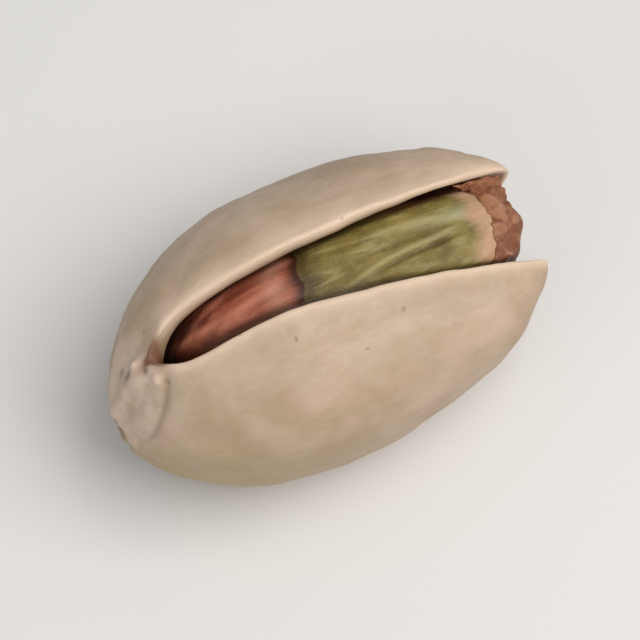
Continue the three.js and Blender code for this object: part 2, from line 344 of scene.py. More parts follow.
class SkinSettings(bpy.types.PropertyGroup):
    clearance: length_property("Clearance", "Gap between skin and kernel", 0.06)
    thickness: length_property("Thickness", "Thickness of the skin", 0.15)
    patch_half_length: angle_property("Patch half length", "Bare patch along the nut", 35.58)
    patch_half_width: angle_property("Patch half width", "Bare patch across the nut", 59.59)
    spokes: IntProperty(name="Spokes", description="Points round the bare patch",
                        default=260, min=40)
    rings: IntProperty(name="Rings", description="Rings from the patch to the far side",
                       default=80, min=16)
    # Pink is the skin's own light streaks, and also the painted highlight along its ridge.
    pink: colour_property("Pink", "Light streaks of the skin", (192, 122, 94))
    red: colour_property("Red", "Main red-brown of the skin", (148, 74, 52))
    # Maroon is painted shade in the folds' troughs and at the stem end.
    maroon: colour_property("Maroon", "Dark folds of the skin", (80, 32, 22))
    papery: colour_property("Papery", "Dry rest of skin at the tip end", (156, 110, 74))
    blot: colour_property("Blots", "Dark blots on the rest of skin", (108, 56, 30))
    shade: colour_property("Shade", "Brown beside the rims", (66, 36, 18))
    # Painted shadow along the torn edge.
    brink: colour_property("Brink", "Dark line along the torn edge", (50, 24, 8))
    torn: colour_property("Torn edge", "Pale dry band along the torn edge", (196, 142, 116))
    roughness: share_property("Roughness", "Base roughness of the skin", 0.46)


class StageSettings(bpy.types.PropertyGroup):
    elevation: angle_property("Elevation", "Camera height above the floor", 68.9)
    azimuth: angle_property("Azimuth", "Camera turn round the nut", -1.5)
    roll: angle_property("Roll", "Turn of the picture", -21.3)
    lens: FloatProperty(name="Lens", description="Focal length", default=500.0,
                        unit="CAMERA", min=20.0)
    nut_share: share_property("Nut share", "Share of the frame's width that the nut spans", 0.72)
    floor: colour_property("Floor", "Pale floor", (226, 223, 218))
    key_power: FloatProperty(name="Key light", description="Power of the main soft light",
                             default=0.42, min=0.0, unit="POWER")
    fill_power: FloatProperty(name="Fill light", description="Power of the side light",
                              default=0.08, min=0.0, unit="POWER")
    sky: share_property("Sky", "Strength of the even light from all round", 0.4)


# Shapes, in millimetres.

def smooth_step(low, high, value):
    """0 up to the low value and 1 from the high one, with a smooth rise between them."""
    share = np.clip((value - low) / (high - low), 0.0, 1.0)
    return share * share * (3.0 - 2.0 * share)


def bell(value, width):
    """1 at nought, fading to nothing a few widths away."""
    return np.exp(-((value / width) ** 2))


def ball_direction(from_stem, from_top, side):
    """Unit directions from the angle to the stem end and the angle down from the top."""
    return np.stack([
        -np.cos(from_stem) + 0.0 * from_top,
        side * np.sin(from_stem) * np.sin(from_top),
        np.sin(from_stem) * np.cos(from_top),
    ], axis=-1)


class Egg:
    """An egg-shaped surface along X that a unit direction picks the points of."""

    def __init__(self, start, length, half_across, half_upright, across, upright):
        self.start = start
        self.length = length
        self.across = across
        self.upright = upright
        self.across_scale = half_across / self.widest(across)
        self.upright_scale = half_upright / self.widest(upright)

    @staticmethod
    def fullness(share, form):
        taper, swell = form
        left = np.clip(1.0 - share, 0.0, 1.0)
        return left ** (taper - 0.5) * (1.0 + swell * left ** 3)

    def widest(self, form):
        share = np.linspace(0.0025, 0.9975, 399)
        return float(np.max(2.0 * np.sqrt(share * (1.0 - share)) * self.fullness(share, form)))

    def points(self, direction):
        share = (1.0 + direction[..., 0]) / 2.0
        return np.stack([
            self.start + self.length * share,
            direction[..., 1] * self.across_scale * self.fullness(share, self.across),
            direction[..., 2] * self.upright_scale * self.fullness(share, self.upright),
        ], axis=-1)

    def outward(self, points):
        """The way out of the egg, taken from the nearest part of its axis."""
        spine = np.clip(points[..., 0], self.start + self.length * SPINE[0],
                        self.start + self.length * SPINE[1])
        away = points.copy()
        away[..., 0] -= spine
        return away / np.linalg.norm(away, axis=-1, keepdims=True)


def bow(x, length):
    """How far the middle line is raised at x."""
    share = x / length
    stem = STEM_RISE * np.clip(1.0 - share / BOW_LOW, 0.0, None) ** STEM_RISE_CURVE
    tip = TIP_RISE * np.clip((share - BOW_LOW) / (1.0 - BOW_LOW), 0.0, None) ** TIP_RISE_CURVE
    return stem + tip


def lean(x, length):
    """How far the middle line leans to the side at x."""
    share = x / length
    ends = TIP_LEAN * share ** 3 - STEM_LEAN * (1.0 - share) ** 2
    return ends + MIDDLE_LEAN * np.sin(np.pi * share)


def place(points, length, height):
    """Moves points off the straight axis onto the bowed one, over the frame's origin."""
    placed = points.copy()
    placed[..., 0] -= OUTLINE_MIDDLE_X
    placed[..., 1] += lean(points[..., 0], length) - OUTLINE_MIDDLE_Y
    placed[..., 2] += bow(points[..., 0], length) + height / 2.0 - FLAT_DEPTH
    return placed


def ripples(points, wavelength, seed, stretch=EVENLY, count=20):
    """Seeded uneven swells of about unit height, with the given wavelength."""
    draw = np.random.default_rng(seed)
    direction = draw.normal(size=(count, 3))
    direction /= np.linalg.norm(direction, axis=1, keepdims=True)
    pace = 2.0 * np.pi / wavelength * draw.uniform(0.7, 1.5, count)
    phase = draw.uniform(0.0, 2.0 * np.pi, count)
    spread = points / np.asarray(stretch)
    total = np.zeros(points.shape[:-1])
    for index in range(count):
        total += np.sin(spread @ (direction[index] * pace[index]) + phase[index])
    return total / math.sqrt(count / 2.0)


def uneven(points, forms):
    """Several ripples together, each with its height, wavelength, seed and stretch."""
    return sum(height * ripples(points, wavelength, seed, stretch)
               for height, wavelength, seed, stretch in forms)


def waves(points):
    """The low swells of the solid shell."""
    x, y, z = np.moveaxis(points, -1, 0)
    return (np.sin(0.62 * x + 0.9 * y + 0.4)
            + np.sin(1.05 * x - 0.55 * z + 1.7)
            + np.sin(0.8 * y + 0.95 * z + 2.6))


def split_share(station):
    """The share of the nut's length at which a coarse station stands."""
    return (1.0 - math.cos(math.pi * station / COARSE_STATIONS)) / 2.0


def arm_gape(share, start, from_seam, curve):
    """How open one arm of the split is: nothing at its start, and 1 at the tips."""
    along = (share - start) / (1.0 - start)
    return (np.clip(np.hypot(along, from_seam) + along, 0.0, None) / 2.0) ** curve


def half_gape(from_stem, from_top, gape):
    """How far a valve has moved out, at an angle from the stem end and from the top."""
    share = (1.0 - np.cos(from_stem)) / 2.0
    spread = np.sin(from_stem) * GAPE_SPREAD
    upper = arm_gape(share, split_share(UPPER_SPLIT_STATION), from_top * spread,
                     UPPER_GAPE_CURVE)
    lower = arm_gape(share, split_share(LOWER_SPLIT_STATION), (np.pi - from_top) * spread,
                     LOWER_GAPE_CURVE)
    height = (1.0 + np.cos(from_top)) / 2.0
    return gape / 2.0 * (lower + (upper - lower) * height)


def shell_relief(points, length):
    """The raised seam, stem furrows, scar and low swells that the solid shell has too."""
    x, y, z = np.moveaxis(points, -1, 0)
    around = np.arctan2(y, z)
    from_axis = np.hypot(y, z)
    from_stem = np.hypot(from_axis, x)
    resting = np.where(z < 0.0, 1.0 - smooth_step(*REST_REACH, np.abs(x - REST_MIDDLE)), 0.0)
    tip_fade = 1.0 - smooth_step(*KEEL_END, x / length)
    keel = bell(y, KEEL_WIDTH) * (1.0 - resting) * tip_fade
    near_stem = bell(x, STEM_FURROW_REACH) * smooth_step(0.6, 2.4, from_axis)
    furrow = np.cos(STEM_FURROWS * around + 0.8 * np.sin(2.0 * around)) * near_stem
    scar = bell(from_stem - SCAR_RADIUS, 0.5)
    return (KEEL_HEIGHT * keel + STEM_FURROW_DEPTH * furrow + SCAR_HEIGHT * scar
            + SWELL_HEIGHT * waves(points) * smooth_step(0.0, 2.0, from_axis))


def kernel_relief(points):
    """The wrinkles and the slanting groove that the solid kernel has too."""
    x, y, z = np.moveaxis(points, -1, 0)
    around = np.arctan2(y, z)
    body = smooth_step(0.5, 3.0, np.hypot(y, z))
    wrinkle = np.sin(5.0 * around + 0.35 * x) + np.sin(3.0 * around - 0.5 * x + 1.0)
    off = y - GROOVE_SLOPE * (x - GROOVE_MIDDLE)
    groove = bell(off, GROOVE_WIDTH) * smooth_step(0.5, 3.0, z)
    return body * (WRINKLE_HEIGHT * wrinkle - GROOVE_DEPTH * groove)


# Meshes and their point values.

def grid_faces(near, far, near_next, far_next):
    """Four-cornered faces from four equal arrays of corner numbers."""
    return np.stack([near, far, far_next, near_next], axis=-1).reshape(-1, 4)


def sheet_faces(number, turned=False):
    """The faces of an open grid of corner numbers."""
    faces = grid_faces(number[:-1, :-1], number[1:, :-1], number[:-1, 1:], number[1:, 1:])
    return faces[:, ::-1] if turned else faces


def tube_faces(number, turned=False):
    """The faces of a grid of corner numbers whose last column meets its first."""
    beside = np.roll(number, -1, axis=1)
    faces = grid_faces(number[:-1], number[1:], beside[:-1], beside[1:])
    return faces[:, ::-1] if turned else faces


def corner_numbers(points, grids_before=0):
    """A number for each point of a grid that stands after others of its size."""
    per_grid = points[..., 0].size
    return np.arange(per_grid).reshape(points.shape[:2]) + per_grid * grids_before


def clean_faces(quads):
    """Faces as lists, where a face with two equal corners becomes a triangle."""
    faces = []
    for quad in quads.tolist():
        face = [corner for index, corner in enumerate(quad) if corner != quad[index - 1]]
        if len(face) > 2 and len(set(face)) == len(face):
            faces.append(face)
    return faces


def make_piece(name, points, quads, values, material, node):
    """A smooth mesh object in metres with point values, riding on the frame."""
    used, index = np.unique(quads, return_inverse=True)
    faces = clean_faces(index.reshape(quads.shape))
    mesh = bpy.data.meshes.new(name)
    mesh.from_pydata((points[used] * MM).tolist(), [], faces)
    mesh.validate()
    mesh.polygons.foreach_set("use_smooth", [True] * len(mesh.polygons))
    for label, numbers in values.items():
        attribute = mesh.attributes.new(label, "FLOAT", "POINT")
        attribute.data.foreach_set("value", numbers[used].astype(np.float32))
    mesh.materials.append(material)
    piece = bpy.data.objects.new(name, mesh)
    bpy.context.scene.collection.objects.link(piece)
    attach(piece, BODY)
    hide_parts(node)
    return piece


def notch_angle(from_stem):
    """How far a rim is drawn back from the upper seam, as an angle down from the top."""
    split = split_share(UPPER_SPLIT_STATION)
    share = (1.0 - np.cos(from_stem)) / 2.0
    along = np.clip(share - split, 0.0, None) / (1.0 - split) / NOTCH_PLACE
    return NOTCH_ANGLE * along * np.exp(1.0 - along)


def inner_angle(from_stem):
    """The angle from the stem end at which the inside has a station."""
    steps = from_stem * COARSE_STATIONS / (np.pi * UPPER_SPLIT_STATION)
    return from_stem - INNER_DRAW * steps * np.exp((1.0 - steps ** 2) / 2.0)


def row_angles(rows, from_stem):
    """Angles down from the upper seam, close together beside both seams."""
    seam_rows = 12
    seam_angle = 0.12
    seam = np.linspace(0.0, seam_angle, seam_rows + 1)
    middle = np.linspace(seam_angle, np.pi - seam_angle, rows - 2 * seam_rows + 1)
    even = np.concatenate([seam[:-1], middle, (np.pi - seam[:-1])[::-1]])[None, :]
    notch = notch_angle(from_stem)
    return notch + even * (1.0 - notch / np.pi)


def rounding(distance, radius):
    """How deep a rounded edge lies below its corner, at a distance from the edge."""
    inside = np.clip(radius - distance, 0.0, radius)
    return radius - np.sqrt(np.clip(radius ** 2 - inside ** 2, 0.0, None))


# Knuckles and pits at the stem end: distance along the nut, to the side, height, radius.
KNUCKLES = (
    (1.91, 0.3, 0.24, 0.2),
    (2.42, -0.74, 0.22, 0.2),
    (1.5, -0.4, 0.07, 0.25),
    (1.2, 1.2, 0.06, 0.4),
    (2.2, 1.3, 0.05, 0.35),
    (1.3, -1.3, 0.06, 0.3),
)
PITS = (
    (1.38, 0.24, 0.12, 0.16),
    (2.16, -0.2, 0.12, 0.14),
    (2.75, -0.98, 0.04, 0.12),
    (1.0, 0.75, 0.05, 0.14),
)


def stem_furrow(x, around):
    """A curved furrow that runs from a knuckle down one side of the stem end."""
    rise = smooth_step(*SIDE_FURROW_RISE, -around)
    span = rise * (1.0 - smooth_step(*SIDE_FURROW_FADE, -around))
    return bell(x - SIDE_FURROW_START - SIDE_FURROW_PACE * around, SIDE_FURROW_WIDTH) * span


def stem_details(points):
    """Height, pale knuckle tops, partly a painted highlight, and painted shade in the pits, furrow
    and scar of the stem end.
    """
    x, y, z = np.moveaxis(points, -1, 0)
    around = np.arctan2(y, z)
    from_stem = np.hypot(np.hypot(y, z), x)
    upper = smooth_step(0.5, 2.0, z)
    height = np.zeros(x.shape)
    pale = np.zeros(x.shape)
    recess_shade = np.zeros(x.shape)
    for along, aside, rise, radius in KNUCKLES:
        knob = bell(np.hypot(x - along, y - aside), radius) * upper
        height += rise * knob
        # The knuckle tops are paler: partly their own whitish colour, partly a painted highlight.
        pale = np.maximum(pale, knob * rise * 5.0)
    for along, aside, depth, radius in PITS:
        pit = bell(np.hypot(x - along, y - aside), radius) * upper
        height -= depth * pit
        # Painted shade in the pits.
        recess_shade = np.maximum(recess_shade, pit)
    furrow = stem_furrow(x, around)
    scar = 1.0 - smooth_step(*SCAR_EDGE, from_stem)
    fibres = np.cos(17.0 * around + 3.0 * from_stem) * smooth_step(0.1, 0.6, from_stem)
    height -= SIDE_FURROW_DEPTH * furrow + scar * (SCAR_HOLLOW + SCAR_FIBRES * fibres)
    # Painted shade in the furrow and the scar's hollow.
    recess_shade = np.maximum(recess_shade, np.maximum(0.5 * furrow, 0.6 * scar))
    return height, np.clip(pale, 0.0, 1.0), recess_shade


class ShellShape:
    """The fine shell: both valves, inside and out, with rounded rims."""

    def __init__(self, settings):
        self.length = settings.length / MM
        self.height = settings.height / MM
        self.gape = settings.gape / MM
        self.rim_radius = (settings.outer_rim / MM, settings.inner_rim / MM)
        self.stations = settings.stations
        self.rows = settings.rows
        half_across = settings.thickness / MM / 2.0
        half_upright = self.height / 2.0
        side = settings.side_wall / MM
        stem = settings.stem_wall / MM
        tip = settings.tip_wall / MM
        self.eggs = (
            Egg(0.0, self.length, half_across, half_upright, SHELL_ACROSS, SHELL_UPRIGHT),
            Egg(stem, self.length - stem - tip, half_across - side, half_upright - side,
                SHELL_ACROSS, SHELL_UPRIGHT),
        )

    def upper_rim(self, from_stem):
        """The upper rim on the closed shell, and how far it has moved out of it."""
        notch = notch_angle(from_stem)
        rim = self.eggs[0].points(ball_direction(from_stem, notch, 1.0))
        return rim, half_gape(from_stem, notch, self.gape)

    def openness(self, x, first):
        """0 where a seam is closed, 1 a little way into the split."""
        start = self.length * split_share(first)
        return smooth_step(start, start + RIM_REACH, x)

    @staticmethod
    def stem_zone(x, around):
        """1 on the whitish skin of the stem end."""
        edge = STEM_SKIN_END - STEM_SKIN_SLANT * np.abs(around)
        return (1.0 - smooth_step(-0.4, 0.5, x - edge)) * smooth_step(-2.2, -1.2, -np.abs(around))

    def surface(self, layer, side):
        """The points of one valve's outside (layer 0) or inside (layer 1), with values."""
        egg = self.eggs[layer]
        from_stem = np.linspace(0.0, np.pi, self.stations + 1)[:, None]
        from_top = row_angles(self.rows, from_stem)
        angle = inner_angle(from_stem) if layer else from_stem
        straight = egg.points(ball_direction(angle, from_top, side))
        x, y, z = np.moveaxis(straight, -1, 0)
        steps = np.linalg.norm(np.diff(straight, axis=1), axis=-1)
        along = np.concatenate([np.zeros((self.stations + 1, 1)), np.cumsum(steps, axis=1)], axis=1)
        perimeter = along[:, -1:]
        upper_open = self.openness(x, UPPER_SPLIT_STATION)
        lower_open = self.openness(x, LOWER_SPLIT_STATION)
        sharper = 1.0 - SHARPER_SHARE * smooth_step(*SHARPER_SPAN, x)
        radius = self.rim_radius[layer] * smooth_step(0.0, 5.0, perimeter) * sharper + 1e-4
        edge = np.maximum(rounding(along, radius) * upper_open,
                          rounding(perimeter - along, radius) * lower_open)
        # The pale band along the rims: partly their own paler colour, partly a painted highlight,
        # wider on the far valve.
        rim = np.maximum(bell(along, WIDE_BAND if side > 0 else NARROW_BAND) * upper_open,
                         bell(perimeter - along, NARROW_BAND) * lower_open)
        # Painted shade at the beginning of the split, inside and along the rims' edges.
        throat = smooth_step(*THROAT_SPAN, x) * (1.0 - smooth_step(*THROAT_FADE_SPAN, x))
        throat = throat * bell(along, THROAT_WIDTHS[layer])
        if layer == 0:
            details, pale, recess_shade = stem_details(straight)
            # The far valve's band is softened, and the pale knuckle tops join it.
            rim = np.maximum(rim * (WIDE_BAND_STRENGTH if side > 0 else 1.0), pale)
            closed = np.where(z > 0.0, 1.0 - upper_open, 1.0 - lower_open)
            # The closed seam's groove, which also gets painted shade.
            seam_line = bell(y, SEAM_WIDTH) * closed * smooth_step(*SEAM_SPAN, x)
            fine = uneven(straight, SHELL_UNEVENNESS)
            fade = smooth_step(0.0, 0.8, np.hypot(y, z))
            lift = (shell_relief(straight, self.length) + fade * (fine - UNEVENNESS_SINK)
                    + details - edge - SEAM_DEPTH * seam_line)
            # Painted shade in the stem end's recesses, the seam's groove and the split's beginning.
            hollow = np.clip(recess_shade + seam_line + throat, 0.0, 1.0)
            inner_share = 1.0
        else:
            rim = 0.5 * rim ** 4
            thinned = bell(along, 1.0) * smooth_step(*THINNED_SPAN, x)
            lift = edge + uneven(straight, INNER_STREAKS) + THINNED_DEPTH * thinned
            hollow = np.zeros(x.shape)
            inner_share = INNER_GAPE_SHARE + INNER_TIP_SHARE * smooth_step(*INNER_TIP_SPAN, x)
        raised = straight + egg.outward(straight) * lift[..., None]
        points = place(raised, self.length, self.height)
        gape = half_gape(from_stem, from_top, self.gape)
        # The rims aren't quite straight along the split.
        waver = 0.985 + 0.009 * np.sin(1.9 * x + side) + 0.005 * np.sin(4.3 * x + 2.0 * side)
        points[..., 1] += side * gape * waver * inner_share
        points[..., 2] = np.maximum(points[..., 2], 0.0)
        around = np.arctan2(y, z)
        # The red-brown stain inside the far tip, partly painted shade.
        tip_stain = layer * smooth_step(*STAIN_SPAN, x) * (side > 0)
        values = {
            "rim": rim,
            "inside": np.full(x.shape, float(layer)),
            "stained": np.maximum(tip_stain, THROAT_SHADE * throat),
            "stem": self.stem_zone(x, around),
            "hollow": hollow,
            # Painted shade on the valves' sides towards the stem end.
            "shaded": (1.0 - smooth_step(3.0, 11.0, x)) * smooth_step(0.5, 1.3, np.abs(around)),
        }
        return points, values

    def build(self):
        """All points, faces and values of the shell."""
        if self.stations % COARSE_STATIONS:
            raise ValueError(f"The shell's stations must be a multiple of {COARSE_STATIONS}")
        ratio = self.stations // COARSE_STATIONS
        upper = UPPER_SPLIT_STATION * ratio
        lower = LOWER_SPLIT_STATION * ratio
        points, values, corners, quads = [], [], {}, []
        for layer in (0, 1):
            for side in (1, -1):
                grid, more = self.surface(layer, side)
                number = corner_numbers(grid, len(points))
                number[-1, :] = number[-1, 0]
                if side == -1:
                    joined = corners[layer, 1]
                    number[:upper + 1, 0] = joined[:upper + 1, 0]
                    number[:lower + 1, -1] = joined[:lower + 1, -1]
                    number[0, :] = joined[0, 0]
                else:
                    number[0, :] = number[0, 0]
                corners[layer, side] = number
                points.append(grid.reshape(-1, 3))
                values.append({label: data.reshape(-1) for label, data in more.items()})
        for (layer, side), number in corners.items():
            quads.append(sheet_faces(number, turned=(side == 1) != (layer == 0)))
        for side in (1, -1):
            for row, first, turned in ((0, upper, side == -1), (-1, lower, side == 1)):
                outer = corners[0, side][first:, row]
                inner = corners[1, side][first:, row]
                strip = grid_faces(outer[1:], outer[:-1], inner[1:], inner[:-1])
                quads.append(strip[:, ::-1] if turned else strip)
        all_values = {label: np.concatenate([part[label] for part in values])
                      for label in values[0]}
        return np.concatenate(points), np.concatenate(quads), all_values


# Creases and ridges of the kernel: where each crosses the middle or, if level, how far to
# the side it lies, with its slope, width, depth (negative for a ridge), and span.
CREASES = (
    (-3.04, 0.167, 0.11, 0.15, 12.4, 17.9),
    (-3.14, 0.195, 0.16, -0.1, 11.4, 18.2),
    (-0.25, 0.03, 0.09, 0.05, 11.6, 16.4),
    (1.75, -0.055, 0.22, -0.07, 12.8, 18.8),
    (1.15, -0.02, 0.09, 0.05, 10.6, 15.5),
    (-2.9, 0.11, 0.1, 0.05, 10.4, 14.6),
)


def kernel_details(points):
    """Slanting creases and ridges, fine wrinkles and lumps, with marks of where they are."""
    x, y, z = np.moveaxis(points, -1, 0)
    top = smooth_step(0.5, 3.0, z)
    height = np.zeros(x.shape)
    crease = np.zeros(x.shape)
    ridge = np.zeros(x.shape)
    for offset, slope, width, depth, low, high in CREASES:
        off = y - offset - slope * x - 0.05 * np.sin(1.3 * x + 9.0 * slope)
        span = smooth_step(low, low + 1.6, x) * (1.0 - smooth_step(high - 1.4, high, x))
        line = bell(off, width) * span * top
        height -= depth * line
        # Creases are marked for painted shade, the deeper ones darker.
        if depth > 0.0:
            crease = np.maximum(crease, line * depth / 0.15)
        else:
            ridge = np.maximum(ridge, line)
    fibres = ripples(points, 0.55, 31, stretch=(8.0, 1.0, 1.0))
    lumps = ripples(points, 1.5, 32, stretch=(2.0, 1.0, 1.0))
    return height + 0.01 * fibres + 0.025 * lumps, crease, ridge


def rim_line(shell):
    """Along the split: places along the nut, half widths of the gap and rim heights."""
    from_stem = np.linspace(np.pi * UPPER_SPLIT_STATION / COARSE_STATIONS, np.pi, 240)
    rim, moved = shell.upper_rim(from_stem)
    height = rim[:, 2] + bow(rim[:, 0], shell.length) + shell.height / 2.0 - FLAT_DEPTH
    return rim[:, 0], rim[:, 1] + moved, height


def lessened(form, x):
    """A width at x, from its full size and the steps by which it gets less."""
    width, *steps = form
    for amount, low, high in steps:
        width = width - amount * smooth_step(low, high, x)
    return width


def covered(points, x, shell):
    """1 where the rims hide the kernel, with a margin of shadow beside them, which the materials
    paint as shade.
    """
    along, half, height = rim_line(shell)
    gap = np.interp(x, along, half, left=0.1)
    depth = np.interp(x, along, height) - points[..., 2]
    middle = lean(x, shell.length) - OUTLINE_MIDDLE_Y + SHADOW_LEAN * (depth - SHADOW_RISE)
    off = points[..., 1] - middle
    margin = np.where(off < 0.0, lessened(NEAR_MARGIN, x), FAR_MARGIN)
    beyond = np.abs(off) - gap + np.where(off < 0.0, lessened(NEAR_INSET, x), FAR_INSET)
    return np.clip((beyond + margin) / margin, 0.0, 1.0) ** 1.5


def kernel_points(settings, shell, direction, over=0.0, fine=0.0):
    """Points of the kernel or of a layer over it, with a share of the fine relief.

    Also gives the points on the straight axis and the surface marks.
    """
    start = settings.start / MM
    egg = Egg(start, settings.end / MM - start, settings.width / MM / 2.0,
              settings.height / MM / 2.0, KERNEL_ACROSS, KERNEL_UPRIGHT)
    straight = egg.points(direction)
    out = egg.outward(straight)
    around = np.arctan2(straight[..., 1], straight[..., 2])
    shoulder = bell(straight[..., 0] - SHOULDER_PLACE, 1.1) * bell(around - SHOULDER_TURN, 0.5)
    details, crease, ridge = kernel_details(straight)
    lift = kernel_relief(straight) + SHOULDER_HEIGHT * shoulder + over + fine * details
    marks = {"crease": crease, "ridge": ridge}
    raised = straight + out * lift[..., None]
    raised[..., 2] += KERNEL_LIFT
    placed = place(raised, shell.length, shell.height)
    upper = smooth_step(-0.6, 0.8, straight[..., 2])
    marks["covered"] = covered(placed, straight[..., 0], shell) * upper
    placed = placed - out * (COVERED_SINK * marks["covered"])[..., None]
    return placed, straight, marks


def patch_edge(settings, angle):
    """How far the torn edge is from the middle of the bare patch, as an angle."""
    along = np.abs(np.cos(angle) / settings.patch_half_length) ** PATCH_SQUARENESS
    across = np.abs(np.sin(angle) / settings.patch_half_width) ** PATCH_SQUARENESS
    ragged = 0.008 * (np.sin(7.0 * angle) + np.sin(11.0 * angle + 1.0))
    tipward = smooth_step(0.2, 0.9, np.cos(angle))
    torn = 0.006 * np.sin(23.0 * angle) + 0.005 * np.sin(41.0 * angle + 2.0)
    slant = np.sin(angle) * np.clip(-np.cos(angle), 0.0, None)
    even = (along + across) ** (-1.0 / PATCH_SQUARENESS)
    return even + ragged + torn * (0.3 + tipward) - PATCH_SLANT * slant


def patch_axes():
    """The way to the middle of the bare patch, and the way from there to the tips."""
    middle = np.array([-math.cos(PATCH_MIDDLE), 0.0, math.sin(PATCH_MIDDLE)])
    to_tip = np.array([math.sin(PATCH_MIDDLE), 0.0, math.cos(PATCH_MIDDLE)])
    return middle, to_tip


def beyond_edge(settings, direction):
    """How far a direction is beyond the torn edge, as an angle, negative on the bare patch."""
    middle, to_tip = patch_axes()
    reach = np.arccos(np.clip(direction @ middle, -1.0, 1.0))
    angle = np.arctan2(direction[..., 1], direction @ to_tip)
    return reach - patch_edge(settings, angle)


def build_kernel(settings, skin, shell):
    """The kernel, with fine relief where the skin has come off it."""
    from_stem = np.linspace(0.0, np.pi, settings.stations + 1)[:, None]
    from_top = np.linspace(0.0, 2.0 * np.pi, settings.around, endpoint=False)[None, :]
    direction = ball_direction(from_stem, from_top, 1.0)
    beyond = beyond_edge(skin, direction)
    bare = 1.0 - smooth_step(-0.05, 0.0, beyond)
    points, straight, values = kernel_points(settings, shell, direction, fine=bare)
    number = corner_numbers(points)
    number[0, :] = number[0, 0]
    number[-1, :] = number[-1, 0]
    x, y = straight[..., 0], straight[..., 1]
    # Painted shade on the kernel beside the skin's torn edge, ending towards the tips.
    brink = bell(beyond + 0.03, 0.06) * (1.0 - smooth_step(*SHADE_LINE_END, x))
    values["crease"] = np.maximum(values["crease"], 1.2 * brink)
    values["tipward"] = smooth_step(*PEACH_SPAN, x + 0.35 * np.abs(y) + 0.15 * np.sin(4.0 * y))
    far_side = smooth_step(*FAR_REST_SPAN, x) * smooth_step(0.0, 1.0, y)
    # The red-brown rest of skin, tinting the painted rim shadow on the far side.
    values["stained"] = np.sqrt(values["covered"]) * far_side
    values["cool"] = bell(x - COOL_SPOT[0], 1.1) * bell(y - COOL_SPOT[1], 0.36)
    values = {label: data.reshape(-1) for label, data in values.items()}
    return points.reshape(-1, 3), tube_faces(number), values


def build_skin(settings, kernel, shell):
    """The skin's outer and inner layers, joined along the torn edge."""
    angle = np.linspace(0.0, 2.0 * np.pi, settings.spokes, endpoint=False)[None, :]
    spread = np.linspace(0.0, 1.0, settings.rings + 1)[:, None] ** 1.5
    edge = patch_edge(settings, angle)
    reach = edge + (np.pi - edge) * spread
    middle, to_tip = patch_axes()
    aside = np.cos(angle)[..., None] * to_tip + np.sin(angle)[..., None] * np.array([0.0, 1.0, 0.0])
    direction = np.cos(reach)[..., None] * middle + np.sin(reach)[..., None] * aside
    from_edge = (reach - edge) * SKIN_RADIUS
    _, straight, _ = kernel_points(kernel, shell, direction)
    x, y = straight[..., 0], straight[..., 1]
    tipward = smooth_step(*PAPERY_SPAN, x)
    fold = ripples(straight, 0.8, 41, stretch=(7.0, 1.0, 1.0))
    crumple = ripples(straight, 1.0, 42)
    off = y - SKIN_RIDGE_SPOT[1] - SKIN_RIDGE_BEND * (x - SKIN_RIDGE_SPOT[0]) ** 2
    span = (1.0 - smooth_step(*SKIN_RIDGE_FADE, x)) * smooth_step(*SKIN_RIDGE_RISE, x)
    # The skin's long ridge, which also gets a painted highlight.
    ridge = bell(off, SKIN_RIDGE_WIDTH) * span
    relief = (FOLD_HEIGHT * fold * (1.0 - tipward) + CRUMPLE_HEIGHT * crumple * tipward
              + SKIN_RIDGE_HEIGHT * ridge)
    flat = 0.5 * (1.0 - tipward)
    rise = flat + (1.0 - flat) * smooth_step(0.0, 0.7, from_edge)
    over = np.maximum(settings.clearance / MM + relief + 0.03, 0.04) * rise
    full = smooth_step(0.0, 0.8, from_edge)
    thickness = settings.thickness / MM * (TORN_THICKNESS + (1.0 - TORN_THICKNESS) * full)
    layers, quads, corners = [], [], []
    for layer, height in enumerate((over + thickness, over)):
        points, _, marks = kernel_points(kernel, shell, direction, over=height)
        number = corner_numbers(points, layer)
        number[-1, :] = number[-1, 0]
        corners.append(number)
        layers.append(points.reshape(-1, 3))
        quads.append(tube_faces(number, turned=layer == 1))
    outer, inner = corners[0][0], corners[1][0]
    quads.append(grid_faces(inner, outer, np.roll(inner, -1), np.roll(outer, -1)))
    values = {
        "torn": bell(from_edge - TORN_BAND[0], TORN_BAND[1]),
        # Painted shadow along the torn edge.
        "brink": bell(from_edge - BRINK_BAND[0], BRINK_BAND[1]) * (1.0 - tipward),
        "tipward": tipward,
        "fold": 0.5 + 0.22 * fold,
        "ridge": ridge,
        # Painted shade at the stem end.
        "deep": 1.0 - smooth_step(*DEEP_SHADE_SPAN, x - 0.7 * y),
        "low": NEAR_BLOTS * smooth_step(0.4, -1.0, y),
        "covered": marks["covered"],
    }
    values = {label: np.tile(data.reshape(-1), 2) for label, data in values.items()}
    return np.concatenate(layers), np.concatenate(quads), values


def sheet_normals(points):
    """Unit normals of a grid of points."""
    normal = np.cross(np.gradient(points, axis=0), np.gradient(points, axis=1))
    return normal / np.maximum(np.linalg.norm(normal, axis=-1, keepdims=True), 1e-9)


